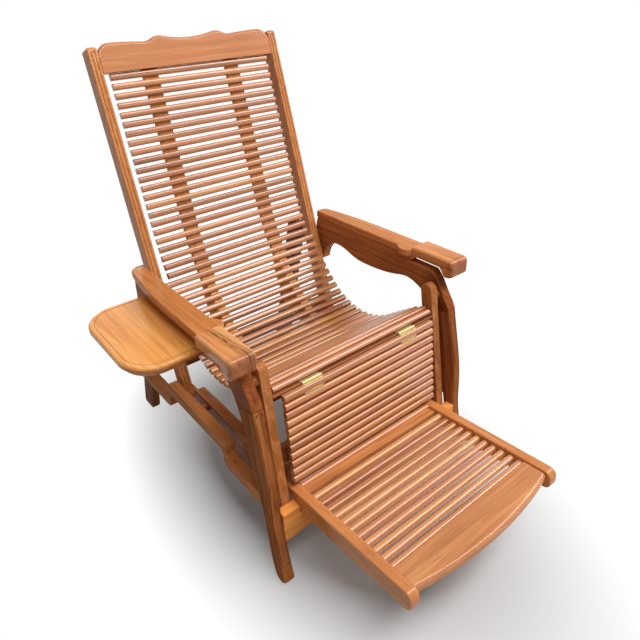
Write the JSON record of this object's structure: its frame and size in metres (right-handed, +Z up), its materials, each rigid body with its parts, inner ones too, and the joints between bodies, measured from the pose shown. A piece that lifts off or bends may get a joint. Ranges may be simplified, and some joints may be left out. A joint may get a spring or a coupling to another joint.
{
  "type": "steamer deck chair",
  "caption": "Slatted hardwood lounge chair with a hollowed seat, hinged calf panel, slide-out footrest and a drop-leaf side tray.",
  "frame": {"origin": "on the floor, in the chair's centre plane, level with the front legs' toes", "axes": "+Z up; the chair faces -Y; -X is the side with the tray (the sitter's right)"},
  "size_m": [0.789, 1.0556, 1.0311],
  "materials": {
    "frame_wood": "oiled hardwood, satin",
    "slat_wood": "oiled hardwood, glossy along the rounded edges",
    "arm_wood": "oiled hardwood, satin, worn pale on top",
    "panel_wood": "oiled hardwood boards, satin",
    "rib_wood": "oiled hardwood, darker, matt",
    "brass": "brushed brass, slightly dulled"
  },
  "bodies": {
    "frame": {"arm_block_left": "arm_wood", "arm_block_right": "arm_wood", "arm_board_left": "frame_wood", "arm_board_right": "frame_wood", "arm_top_left": "arm_wood", "arm_top_right": "arm_wood", "back_lath_left": "rib_wood", "back_lath_right": "rib_wood", "back_slats": "slat_wood", "bucket_slats": "slat_wood", "calf_hinge_fixed_left": "brass", "calf_hinge_fixed_right": "brass", "crest_rail": "frame_wood", "front_cross_rail": "frame_wood", "front_leg_left": "frame_wood", "front_leg_right": "frame_wood", "front_post_left": "frame_wood", "front_post_right": "frame_wood", "guide_rail_left": "frame_wood", "guide_rail_right": "frame_wood", "lower_back_slats": "slat_wood", "lower_cross_rail": "frame_wood", "nose_rail": "frame_wood", "nose_slat_1": "slat_wood", "nose_slat_2": "slat_wood", "prop_bracket": "rib_wood", "prop_pin": "brass", "rear_leg_left": "frame_wood", "rear_leg_right": "frame_wood", "rear_seat_slats": "slat_wood", "runner_left": "rib_wood", "runner_right": "rib_wood", "seat_cross_rail": "rib_wood", "seat_rib_left": "rib_wood", "seat_rib_right": "rib_wood", "seat_slats": "slat_wood", "spacers_left": "rib_wood", "spacers_right": "rib_wood", "stile_left": "frame_wood", "stile_right": "frame_wood", "stretcher_left": "frame_wood", "stretcher_right": "frame_wood", "tray_hinges_fixed": "brass"},
    "footrest": {"footrest_rail_left": "frame_wood", "footrest_rail_right": "frame_wood", "footrest_slats": "slat_wood", "footrest_top_slat": "slat_wood", "footrest_rear_board": "panel_wood", "footrest_tail_rail": "rib_wood", "footrest_front_board": "panel_wood"},
    "calf_panel": {"calf_slats": "slat_wood", "calf_batten_left": "rib_wood", "calf_batten_right": "rib_wood", "calf_hinge_moving_left": "brass", "calf_hinge_moving_right": "brass"},
    "tray_leaf": {"tray": "panel_wood", "tray_edging": "frame_wood", "tray_hinges_moving": "brass"},
    "tray_prop_arm": {"tray_prop": "rib_wood"}
  },
  "joints": [
    {"name": "footrest_slide", "type": "slide", "parent": "frame", "child": "footrest", "axis": [0, 0.9976, -0.0698], "range_m": [0, 0.25]},
    {"name": "calf_swing", "type": "hinge", "parent": "frame", "child": "calf_panel", "pos_m": [0, 0.0779, 0.41778], "axis": [-1, 0, 0], "range_deg": [0, 90]},
    {"name": "tray_fold", "type": "hinge", "parent": "frame", "child": "tray_leaf", "pos_m": [-0.2989, 0.351, 0.4801], "axis": [0, -1, 0], "range_deg": [0, 90]},
    {"name": "prop_fold", "type": "hinge", "parent": "frame", "child": "tray_prop_arm", "pos_m": [-0.282, 0.351, 0.424], "axis": [0, -1, 0], "range_deg": [0, 125.2]}
  ],
  "couplings": [
    {"joint": "prop_fold", "follows": "tray_fold", "ratio": 1.391}
  ]
}
